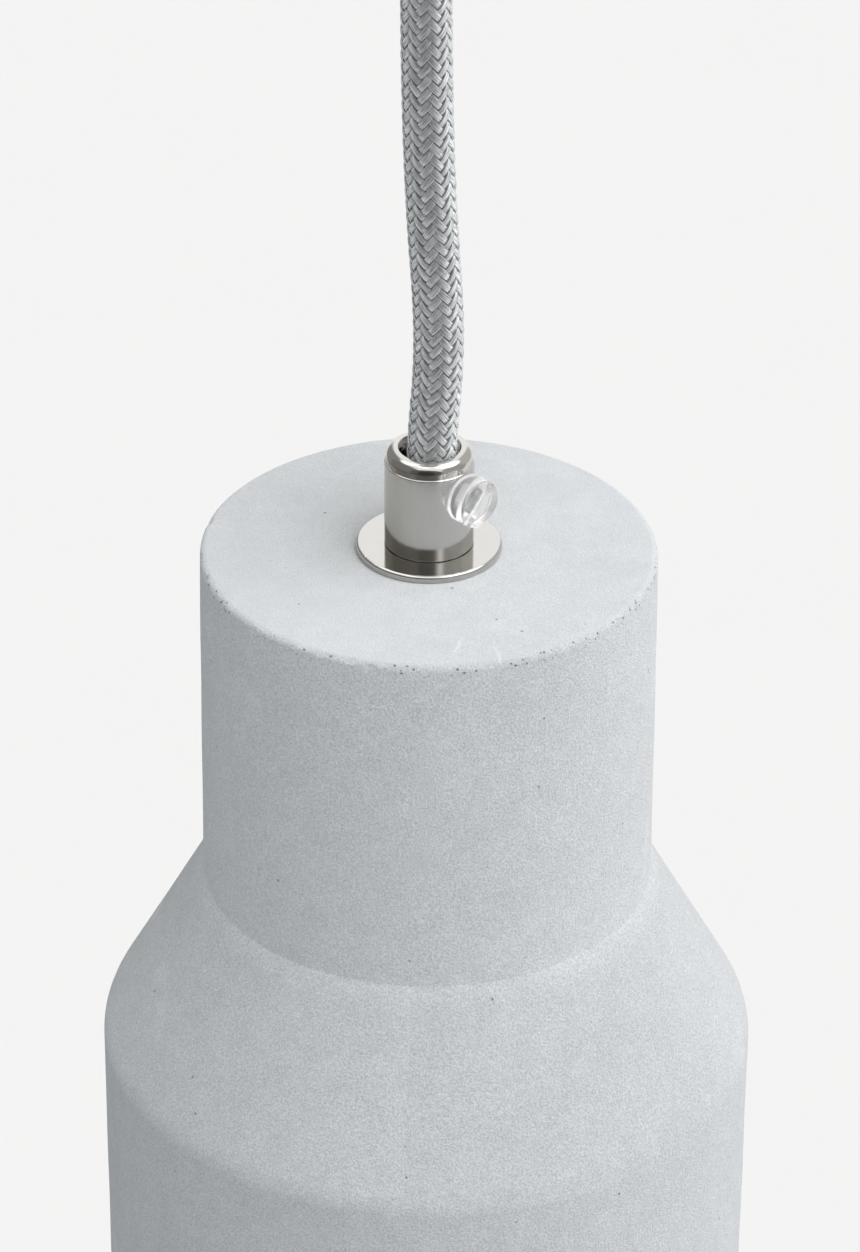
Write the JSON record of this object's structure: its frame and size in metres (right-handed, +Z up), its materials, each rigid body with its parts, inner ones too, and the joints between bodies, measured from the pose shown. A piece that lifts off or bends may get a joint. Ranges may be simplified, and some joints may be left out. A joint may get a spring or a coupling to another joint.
{
  "type": "pendant lamp",
  "caption": "Cast concrete pendant lamp with a stepped bottle shape, hung on a braided cord from a round ceiling canopy, with cord grips, clear clamp screws, lampholder and bulb.",
  "frame": {"origin": "middle of the ceiling plane, on the bracket's upper face", "axes": "+Z up into the ceiling, +X along the bracket, -Y towards the viewer; the lamp hangs down -Z"},
  "size_m": [0.1046, 0.1, 0.43],
  "materials": {
    "concrete": "fine cast concrete, matte",
    "nickel": "polished nickel plate",
    "nickel_satin": "satin nickel plate",
    "zinc_steel": "zinc plated",
    "clear_plastic": "clear moulded",
    "cord_braid": "braided textile sleeve",
    "white_plastic": "moulded",
    "brass": "plain",
    "brown_core": "wire insulation",
    "blue_core": "wire insulation",
    "earth_core": "green and yellow wire insulation",
    "ceramic": "glazed",
    "aluminium": "bright formed sheet",
    "black_glass": "black glass",
    "solder": "solder",
    "opal": "opal diffuser",
    "aluminium_board": "white masked board",
    "phosphor": "LED phosphor",
    "circuit_board": "glass fibre board"
  },
  "bodies": {
    "ceiling": {"ceiling_bracket": "zinc_steel", "terminal_block_body": "white_plastic", "terminal_inserts": "brass", "terminal_screws": "zinc_steel", "terminal_fixing_screw": "zinc_steel", "canopy": "nickel_satin", "canopy_side_screws": "nickel", "canopy_washer": "zinc_steel", "canopy_nut": "brass", "canopy_threaded_tube": "zinc_steel", "ceiling_cord_end": "cord_braid", "ceiling_core_brown": "brown_core", "ceiling_core_earth": "earth_core", "ceiling_core_blue": "blue_core"},
    "ceiling_grip": {"canopy_cord_grip": "nickel"},
    "ceiling_clamp": {"canopy_clamp_screw": "clear_plastic"},
    "pendant": {"power_cord": "cord_braid", "shade_top_washer": "nickel", "cord_grip": "nickel", "shade_lower_washer": "zinc_steel", "shade_nut": "brass", "shade_threaded_tube": "zinc_steel", "concrete_shade": "concrete", "holder_dome": "nickel_satin", "holder_skirt": "nickel_satin", "holder_ceramic": "ceramic", "screw_shell": "brass", "centre_contact": "brass", "holder_terminals": "brass", "holder_terminal_screws": "zinc_steel", "holder_earth_screw": "zinc_steel", "holder_core_brown": "brown_core", "holder_core_earth": "earth_core", "holder_core_blue": "blue_core"},
    "lamp_clamp": {"clamp_screw": "clear_plastic"},
    "bulb": {"bulb_cap": "aluminium", "bulb_insulator": "black_glass", "bulb_contact": "solder", "bulb_housing": "white_plastic", "bulb_globe": "opal", "led_board": "aluminium_board", "led_emitters": "phosphor", "driver_board": "circuit_board"}
  },
  "joints": [
    {"name": "ceiling_grip_turn", "type": "hinge", "parent": "ceiling", "child": "ceiling_grip", "pos_m": [0, 0, -0.0357], "axis": [0, 0, 1], "range_deg": [-180, 180]},
    {"name": "cord_swing", "type": "hinge", "parent": "ceiling_grip", "child": "pendant", "pos_m": [0, 0, -0.0434], "axis": [0, 1, 0], "range_deg": [-30, 30]},
    {"name": "ceiling_clamp_turn", "type": "hinge", "parent": "ceiling_grip", "child": "ceiling_clamp", "pos_m": [0, 0, -0.0383], "axis": [0.682, 0.7314, 0], "range_deg": [-540, 0]},
    {"name": "lamp_clamp_turn", "type": "hinge", "parent": "pendant", "child": "lamp_clamp", "pos_m": [0, 0, -0.2387], "axis": [-0.682, 0.7314, 0], "range_deg": [-540, 0]},
    {"name": "bulb_turn", "type": "hinge", "parent": "pendant", "child": "bulb", "pos_m": [0, 0, -0.327], "axis": [0, 0, 1], "range_deg": [-900, 0]}
  ]
}
